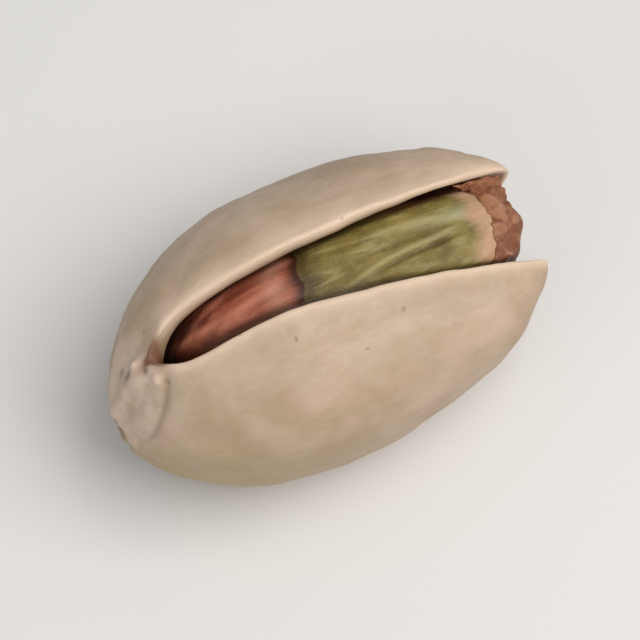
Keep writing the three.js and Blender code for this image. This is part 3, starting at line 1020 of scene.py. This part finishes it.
def build_flake(kernel, shell):
    """A crumpled scrap of skin between the kernel's tip end and the rim of one valve."""
    columns, rows = FLAKE_GRID
    along = np.linspace(0.0, 1.0, columns)
    start = kernel.start / MM
    share = (FLAKE_FOOT_START + FLAKE_FOOT_LENGTH * along - start) / (kernel.end / MM - start)
    to_foot = ball_direction(np.arccos(1.0 - 2.0 * share), 0.85 - 0.15 * along, 1.0)
    foot, _, _ = kernel_points(kernel, shell, to_foot, over=FLAKE_CLEARANCE)
    rim_share = (FLAKE_TOP_START + FLAKE_TOP_LENGTH * along) / shell.length
    rim, moved = shell.upper_rim(np.arccos(1.0 - 2.0 * rim_share))
    top = place(rim, shell.length, shell.height)
    top[:, 1] += moved - FLAKE_RIM_GAP
    top[:, 2] -= FLAKE_RIM_DROP + FLAKE_RIM_WAVER * np.sin(9.0 * along) ** 2
    up = np.linspace(0.0, 1.0, rows)[None, :, None]
    sheet = foot[:, None, :] * (1.0 - up) + top[:, None, :] * up
    free = 0.3 + np.sin(np.pi * up[..., 0])
    lift = uneven(sheet, FLAKE_CRUMPLES) * free
    sheet = sheet + sheet_normals(sheet) * lift[..., None]
    half = FLAKE_HALF_THICKNESS * sheet_normals(sheet)
    number = corner_numbers(sheet)
    quads = [sheet_faces(number), sheet_faces(number + number.size, turned=True)]
    loop = np.concatenate([number[:, 0], number[-1, 1:], number[-2::-1, -1], number[0, -2:0:-1]])
    beside = np.roll(loop, -1)
    quads.append(grid_faces(loop, loop + number.size, beside, beside + number.size))
    points = np.concatenate([(sheet + half).reshape(-1, 3), (sheet - half).reshape(-1, 3)])
    # The scrap gets a little painted shadow from its brink and rim-shadow values.
    even = {"torn": 0.0, "brink": 0.1, "tipward": 0.75, "fold": 0.5, "ridge": 0.0, "deep": 0.0,
            "low": 0.04, "covered": 0.1}
    values = {label: np.full(len(points), amount) for label, amount in even.items()}
    return points, np.concatenate(quads), values


# Shader effects that more than one material uses.

def new_group(name, inputs, outputs):
    """An empty shader group with named sockets: (name, type, default) and (name, type)."""
    tree = bpy.data.node_groups.new(name, "ShaderNodeTree")
    for label, kind, default in inputs:
        socket = tree.interface.new_socket(label, in_out="INPUT", socket_type=kind)
        if default is not None:
            socket.default_value = default
    for label, kind in outputs:
        tree.interface.new_socket(label, in_out="OUTPUT", socket_type=kind)
    nodes = Nodes(tree)
    start = tree.nodes.new("NodeGroupInput")
    end = tree.nodes.new("NodeGroupOutput")
    return nodes, start.outputs, end.inputs


class Nodes:
    """Short calls that add nodes to a tree. Each gives back an output of its node."""

    def __init__(self, tree):
        self.tree = tree

    def feed(self, socket, value):
        """Links a socket to an output, or sets it to a number, vector or colour."""
        if isinstance(value, bpy.types.NodeSocket):
            self.tree.links.new(value, socket)
        elif hasattr(value, "__len__"):
            numbers = tuple(value)
            wanted = len(socket.default_value)
            socket.default_value = numbers + (1.0,) * (wanted - len(numbers))
        else:
            socket.default_value = value

    def add(self, kind, out, given, **settings):
        """A node with settings and inputs filled in. Gives one output, or all for None."""
        node = self.tree.nodes.new("ShaderNode" + kind)
        for label, value in settings.items():
            setattr(node, label, value)
        for label, value in given.items():
            self.feed(node.inputs[label], value)
        return node.outputs if out is None else node.outputs[out]

    def math(self, operation, first, second, clamp=False):
        return self.add("Math", 0, {0: first, 1: second}, operation=operation, use_clamp=clamp)

    def vector(self, operation, first, second):
        return self.add("VectorMath", 0, {0: first, 1: second}, operation=operation)

    def scaled(self, vector, scale):
        return self.add("VectorMath", 0, {0: vector, "Scale": scale}, operation="SCALE")

    def noise(self, vector, scale, detail=3.0, roughness=0.55, distortion=0.0):
        return self.add("TexNoise", "Fac", {
            "Vector": vector, "Scale": scale, "Detail": detail, "Roughness": roughness,
            "Distortion": distortion})

    def range(self, value, low, high, to_low=0.0, to_high=1.0):
        return self.add("MapRange", "Result", {
            "Value": value, "From Min": low, "From Max": high, "To Min": to_low,
            "To Max": to_high}, interpolation_type="SMOOTHSTEP")

    def mix(self, share, first, second):
        return self.add("Mix", 2, {"Factor": share, 6: first, 7: second}, data_type="RGBA")

    def value(self, label):
        """A point value stored in the mesh."""
        return self.add("Attribute", "Fac", {}, attribute_name=label)

    def tint(self, colour, label, strength, other):
        """A colour turned towards another by a point value times a strength."""
        return self.mix(self.math("MULTIPLY", self.value(label), strength), colour, other)

    def total(self, parts):
        """The sum of outputs that each are multiplied by a number."""
        height = 0.0
        for output, share in parts:
            height = self.math("ADD", height, self.math("MULTIPLY", output, share))
        return height

    def effect(self, name, out, given):
        """One output of a shared effect."""
        return self.add("Group", out, given, node_tree=bpy.data.node_groups[name])

    def grain(self, vector, fineness, stretch):
        return self.effect("Lengthwise grain", "Grain", {
            "Vector": vector, "Fineness": fineness, "Stretch": stretch})

    def mottling(self, vector, size, light, dark):
        return self.effect("Mottling", "Color", {
            "Vector": vector, "Size": size, "Sharpness": 0.2, "Light": light, "Dark": dark})

    def specks(self, vector, fineness, size, share):
        return self.effect("Specks", "Mask", {
            "Vector": vector, "Fineness": fineness, "Size": size, "Share": share})


def make_groups():
    """The shared effects, built once each."""
    if "Lengthwise grain" in bpy.data.node_groups:
        return
    nodes, given, result = new_group(
        "Lengthwise grain",
        (("Vector", "NodeSocketVector", None), ("Fineness", "NodeSocketFloat", 2.0),
         ("Stretch", "NodeSocketFloat", 0.12)),
        (("Grain", "NodeSocketFloat"),))
    squeeze = nodes.add("CombineXYZ", 0, {0: given["Stretch"], 1: 1.0, 2: 1.0})
    drawn = nodes.vector("MULTIPLY", given["Vector"], squeeze)
    nodes.feed(result["Grain"], nodes.noise(drawn, given["Fineness"], 5.0, 0.6, 0.3))

    nodes, given, result = new_group(
        "Mottling",
        (("Vector", "NodeSocketVector", None), ("Size", "NodeSocketFloat", 0.4),
         ("Sharpness", "NodeSocketFloat", 0.14), ("Light", "NodeSocketColor", None),
         ("Dark", "NodeSocketColor", None)),
        (("Color", "NodeSocketColor"),))
    cloud = nodes.noise(given["Vector"], given["Size"], 4.0, 0.58, 0.4)
    low = nodes.math("SUBTRACT", 0.5, given["Sharpness"])
    high = nodes.math("ADD", 0.5, given["Sharpness"])
    mask = nodes.range(cloud, low, high)
    nodes.feed(result["Color"], nodes.mix(mask, given["Dark"], given["Light"]))

    nodes, given, result = new_group(
        "Specks",
        (("Vector", "NodeSocketVector", None), ("Fineness", "NodeSocketFloat", 1.0),
         ("Size", "NodeSocketFloat", 0.12), ("Share", "NodeSocketFloat", 0.3)),
        (("Mask", "NodeSocketFloat"),))
    wobble = nodes.noise(given["Vector"], 3.0, 2.0)
    shifted = nodes.vector("ADD", given["Vector"], nodes.scaled(wobble, 0.35))
    cells = nodes.add("TexVoronoi", None, {"Vector": shifted, "Scale": given["Fineness"]})
    draws = nodes.add("SeparateColor", None, {0: cells["Color"]})
    present = nodes.math("LESS_THAN", draws[0], given["Share"])
    size = nodes.math("MULTIPLY", given["Size"], nodes.math("ADD", draws[1], 0.3))
    dot = nodes.range(cells["Distance"], nodes.math("MULTIPLY", size, 0.35), size, 1.0, 0.0)
    nodes.feed(result["Mask"], nodes.math("MULTIPLY", dot, present))


def new_material(name):
    """A material with its Principled shader, and coordinates in millimetres."""
    make_groups()
    material = bpy.data.materials.new(name)
    material.use_nodes = True
    nodes = Nodes(material.node_tree)
    shader = material.node_tree.nodes["Principled BSDF"]
    return material, nodes, shader, nodes.scaled(nodes.add("TexCoord", "Object", {}), 1.0 / MM)


def finish_surface(nodes, shader, colour, roughness, height, specular, relief):
    """Feeds a shader its colour, roughness and fine relief, whose depth is in millimetres."""
    bump = nodes.add("Bump", "Normal", {"Height": height, "Distance": relief * MM, "Strength": 1.0})
    nodes.feed(shader.inputs["Base Color"], colour)
    nodes.feed(shader.inputs["Specular IOR Level"], specular)
    nodes.feed(shader.inputs["Roughness"], roughness)
    nodes.feed(shader.inputs["Normal"], bump)


def shell_material(s):
    """Satin beige shell, pale rims partly painted as highlight, a whitish stem end, painted shade
    in its hollows and towards the stem end, and a tan inside.
    """
    material, nodes, shader, spot = new_material("Nutshell")
    moved = nodes.vector("ADD", spot, PATTERN_SHIFT)
    grain = nodes.grain(spot, fineness=1.1, stretch=0.12)
    fine = nodes.grain(spot, fineness=6.0, stretch=0.2)
    specks = nodes.specks(spot, fineness=0.8, size=0.085, share=0.3)
    dust = nodes.specks(moved, fineness=2.4, size=0.09, share=0.22)
    pink = nodes.range(nodes.noise(moved, 0.34, detail=2.0), 0.48, 0.72, 0.0, 0.6)
    khaki = nodes.range(nodes.noise(moved, 0.25), 0.3, 0.5, 0.35, 0.0)
    patchy = nodes.range(nodes.noise(spot, 1.3), 0.36, 0.6, 0.3, 0.95)
    colour = nodes.mix(pink, nodes.mottling(spot, size=0.3, light=s.light, dark=s.dark), s.pink)
    colour = nodes.mix(khaki, colour, s.khaki)
    # Painted shade on the valves' sides towards the stem end.
    colour = nodes.tint(colour, "shaded", 0.75, s.khaki)
    colour = nodes.mix(nodes.range(grain, 0.42, 0.68, 0.0, 0.3), colour, s.khaki)
    colour = nodes.mix(nodes.range(fine, 0.5, 0.72, 0.0, 0.1), colour, s.dirt_and_shade)
    # The rims' own paler colour with a painted highlight, and the pale knuckle tops.
    colour = nodes.tint(colour, "rim", 0.85, s.rim)
    colour = nodes.tint(colour, "stem", patchy, s.stem)
    colour = nodes.mix(nodes.math("MULTIPLY", specks, 0.28), colour, s.dirt_and_shade)
    colour = nodes.mix(nodes.math("MULTIPLY", dust, 0.18), colour, s.dirt_and_shade)
    # Painted shade in the stem end's recesses, the seam and the split's beginning.
    colour = nodes.tint(colour, "hollow", 0.75, s.dirt_and_shade)
    within = nodes.mix(nodes.range(grain, 0.35, 0.65), s.inside, s.khaki)
    deep = nodes.math("SUBTRACT", nodes.value("inside"),
                      nodes.math("MULTIPLY", nodes.value("rim"), 0.6), clamp=True)
    colour = nodes.mix(deep, colour, within)
    # The stain inside the far tip, with painted shade at the split's beginning.
    colour = nodes.mix(nodes.range(nodes.value("stained"), 0.05, 0.5, 0.0, 0.85), colour, s.stain)
    height = nodes.total(((fine, 0.5), (nodes.noise(spot, 9.0), 0.3), (grain, 0.6), (specks, -0.6)))
    roughness = nodes.range(grain, 0.3, 0.7, s.roughness - 0.06, s.roughness + 0.1)
    finish_surface(nodes, shader, colour, roughness, height, specular=0.42, relief=0.05)
    return material


def kernel_material(s):
    """Mottled olive kernel, paler on its ridges and peach at the tip end, with painted shade in its
    creases, beside the torn edge and under the rims.
    """
    material, nodes, shader, spot = new_material("Kernel")
    grain = nodes.grain(spot, fineness=2.2, stretch=0.2)
    spots = nodes.specks(spot, fineness=0.7, size=0.13, share=0.4)
    patchy = nodes.range(nodes.noise(spot, 1.1), 0.3, 0.6, 0.7, 1.0)
    colour = nodes.mottling(spot, size=0.6, light=s.green, dark=s.olive)
    colour = nodes.mix(nodes.range(grain, 0.48, 0.7, 0.0, 0.45), colour, s.pale)
    colour = nodes.mix(nodes.range(grain, 0.3, 0.44, 0.35, 0.0), colour, s.olive)
    colour = nodes.mix(nodes.math("MULTIPLY", spots, 0.45), colour, s.shade)
    # The crease and the rim shadow are painted shade, which the stain tints red-brown on the far
    # side.
    for label, strength, other in (("ridge", 0.65, s.pale), ("cool", 0.6, s.cool),
                                   ("tipward", patchy, s.peach), ("crease", 0.7, s.shade),
                                   ("covered", 0.92, s.shade), ("stained", 0.8, s.stain)):
        colour = nodes.tint(colour, label, strength, other)
    height = nodes.total(((grain, 0.9), (nodes.noise(spot, 7.0), 0.5)))
    roughness = nodes.range(grain, 0.3, 0.7, s.roughness + 0.08, s.roughness - 0.08)
    finish_surface(nodes, shader, colour, roughness, height, specular=0.32, relief=0.08)
    return material


def skin_material(s):
    """Red-brown papery skin: streaked, with painted shade at the stem end, in its folds, beside the
    rims and along the torn edge, a painted highlight on its ridge, and pale where it is torn.
    """
    material, nodes, shader, spot = new_material("Seed skin")
    grain = nodes.grain(spot, fineness=2.2, stretch=0.14)
    cloud = nodes.noise(spot, 1.1, roughness=0.6, distortion=1.0)
    veins = nodes.range(nodes.math("SUBTRACT", cloud, nodes.value("low")), 0.3, 0.54, 1.0, 0.0)
    veins = nodes.math("MULTIPLY", veins, nodes.value("tipward"))
    # Darker maroon in the troughs of the folds is painted shade.
    folds = nodes.range(nodes.value("fold"), 0.15, 0.5, 0.45, 0.0)
    colour = nodes.mix(0.6, nodes.mottling(spot, size=0.7, light=s.pink, dark=s.red), s.red)
    colour = nodes.mix(nodes.range(grain, 0.48, 0.66, 0.0, 0.6), colour, s.pink)
    colour = nodes.mix(folds, colour, s.maroon)
    # Deep is painted shade at the stem end, and the ridge gets a painted highlight.
    for label, strength, other in (("deep", 0.75, s.maroon), ("ridge", 0.75, s.pink),
                                   ("tipward", 0.8, s.papery), ("torn", 0.55, s.torn)):
        colour = nodes.tint(colour, label, strength, other)
    colour = nodes.mix(nodes.math("MULTIPLY", veins, 0.75), colour, s.blot)
    # Painted shadow along the torn edge.
    colour = nodes.tint(colour, "brink", 0.95, s.brink)
    # Painted shade beside the rims.
    colour = nodes.tint(colour, "covered", 0.85, s.shade)
    height = nodes.total(((grain, 0.8), (nodes.noise(spot, 8.0), 0.4)))
    roughness = nodes.range(grain, 0.3, 0.7, s.roughness + 0.1, s.roughness - 0.08)
    finish_surface(nodes, shader, colour, roughness, height, specular=0.3, relief=0.07)
    return material


# Operators.

class PISTACHIO_OT_shell(bpy.types.Operator):
    """Build the split shell"""
    bl_idname = "pistachio.shell"
    bl_label = "Shell"

    def execute(self, context):
        settings = context.scene.pistachio_shell
        points, quads, values = ShellShape(settings).build()
        make_piece("nutshell", points, quads, values, shell_material(settings),
                   "shell")
        return {"FINISHED"}


class PISTACHIO_OT_kernel(bpy.types.Operator):
    """Build the green kernel"""
    bl_idname = "pistachio.kernel"
    bl_label = "Kernel"

    def execute(self, context):
        scene = context.scene
        settings = scene.pistachio_kernel
        points, quads, values = build_kernel(settings, scene.pistachio_skin,
                                             ShellShape(scene.pistachio_shell))
        make_piece("green_kernel", points, quads, values, kernel_material(settings),
                   "kernel")
        return {"FINISHED"}


class PISTACHIO_OT_skin(bpy.types.Operator):
    """Build the torn seed skin"""
    bl_idname = "pistachio.skin"
    bl_label = "Seed skin"

    def execute(self, context):
        scene = context.scene
        settings = scene.pistachio_skin
        kernel = scene.pistachio_kernel
        shell = ShellShape(scene.pistachio_shell)
        material = skin_material(settings)
        points, quads, values = build_skin(settings, kernel, shell)
        make_piece("torn_skin", points, quads, values, material, "seed_skin")
        points, quads, values = build_flake(kernel, shell)
        make_piece("skin_flake", points, quads, values, material, "seed_skin")
        return {"FINISHED"}


def add_light(name, power, size, spot, target):
    """A square soft light at a spot, turned to a target."""
    data = bpy.data.lights.new(name, "AREA")
    data.energy = power
    data.size = size
    light = bpy.data.objects.new(name, data)
    light.location = spot
    light.rotation_euler = (Vector(target) - Vector(spot)).to_track_quat("-Z", "Y").to_euler()
    bpy.context.scene.collection.objects.link(light)


class PISTACHIO_OT_stage(bpy.types.Operator):
    """Add the floor, soft lights and camera"""
    bl_idname = "pistachio.stage"
    bl_label = "Stage"

    def execute(self, context):
        scene = context.scene
        s = scene.pistachio_stage
        low, high = CAD_BOX
        middle = (low + high) / 2.0
        self.add_floor(s)
        world = bpy.data.worlds.new("Even light")
        world.use_nodes = True
        background = world.node_tree.nodes["Background"]
        background.inputs["Color"].default_value = SKY_COLOUR
        background.inputs["Strength"].default_value = s.sky
        scene.world = world
        scene.view_settings.view_transform = "Standard"
        add_light("Key light", s.key_power, KEY_LIGHT_SIZE, KEY_LIGHT_SPOT, middle)
        add_light("Fill light", s.fill_power, FILL_LIGHT_SIZE, FILL_LIGHT_SPOT, middle)
        self.add_camera(scene, s, middle, high.x - low.x)
        return {"FINISHED"}

    def add_floor(self, s):
        """A wide pale floor just under the resting spot."""
        mesh = bpy.data.meshes.new("floor")
        half = FLOOR_HALF
        mesh.from_pydata([(-half, -half, 0.0), (half, -half, 0.0), (half, half, 0.0),
                          (-half, half, 0.0)], [], [(0, 1, 2, 3)])
        material = bpy.data.materials.new("Floor")
        material.use_nodes = True
        shader = material.node_tree.nodes["Principled BSDF"]
        shader.inputs["Base Color"].default_value = (*s.floor, 1.0)
        shader.inputs["Roughness"].default_value = 0.7
        mesh.materials.append(material)
        floor = bpy.data.objects.new("floor", mesh)
        floor.location.z = -FLOOR_DROP
        bpy.context.scene.collection.objects.link(floor)

    def add_camera(self, scene, s, middle, length):
        """The photograph's view: looking down on the split, the nut slanting upwards."""
        data = bpy.data.cameras.new("Camera")
        data.lens = s.lens
        camera = bpy.data.objects.new("Camera", data)
        back = Vector((math.sin(s.azimuth) * math.cos(s.elevation),
                       -math.cos(s.azimuth) * math.cos(s.elevation),
                       math.sin(s.elevation)))
        view_width = length / s.nut_share
        distance = view_width * s.lens / data.sensor_width
        turn = (-back).to_track_quat("-Z", "Y").to_matrix().to_4x4()
        camera.matrix_world = (Matrix.Translation(middle + back * distance) @ turn
                               @ Matrix.Rotation(s.roll, 4, "Z"))
        data.clip_start = distance * 0.05
        data.clip_end = distance * 20.0
        scene.collection.objects.link(camera)
        scene.camera = camera


class PISTACHIO_PT_panel(bpy.types.Panel):
    """Lists the nut's pieces and their settings"""
    bl_label = "Pistachio"
    bl_idname = "PISTACHIO_PT_panel"
    bl_space_type = "VIEW_3D"
    bl_region_type = "UI"
    bl_category = "Pistachio"

    def draw(self, context):
        for operator, label, _ in STEPS:
            box = self.layout.box()
            box.operator(operator)
            group = getattr(context.scene, label)
            for setting in group.bl_rna.properties.keys():
                if setting not in ("rna_type", "name"):
                    box.prop(group, setting)


# Each operator, with the name and the class of its settings.
STEPS = (
    ("pistachio.stage", "pistachio_stage", StageSettings),
    ("pistachio.shell", "pistachio_shell", ShellSettings),
    ("pistachio.kernel", "pistachio_kernel", KernelSettings),
    ("pistachio.skin", "pistachio_skin", SkinSettings),
)
CLASSES = (
    ShellSettings, KernelSettings, SkinSettings, StageSettings,
    PISTACHIO_OT_shell, PISTACHIO_OT_kernel, PISTACHIO_OT_skin, PISTACHIO_OT_stage,
    PISTACHIO_PT_panel,
)


def register():
    for cls in CLASSES:
        bpy.utils.register_class(cls)
    for _, label, group in STEPS:
        setattr(bpy.types.Scene, label, PointerProperty(type=group))


def unregister():
    for _, label, _ in STEPS:
        delattr(bpy.types.Scene, label)
    for cls in reversed(CLASSES):
        bpy.utils.unregister_class(cls)


def main():
    register()
    bpy.ops.pistachio.stage()
    bpy.ops.pistachio.shell()
    bpy.ops.pistachio.kernel()
    bpy.ops.pistachio.skin()


if __name__ == "__main__":
    main()
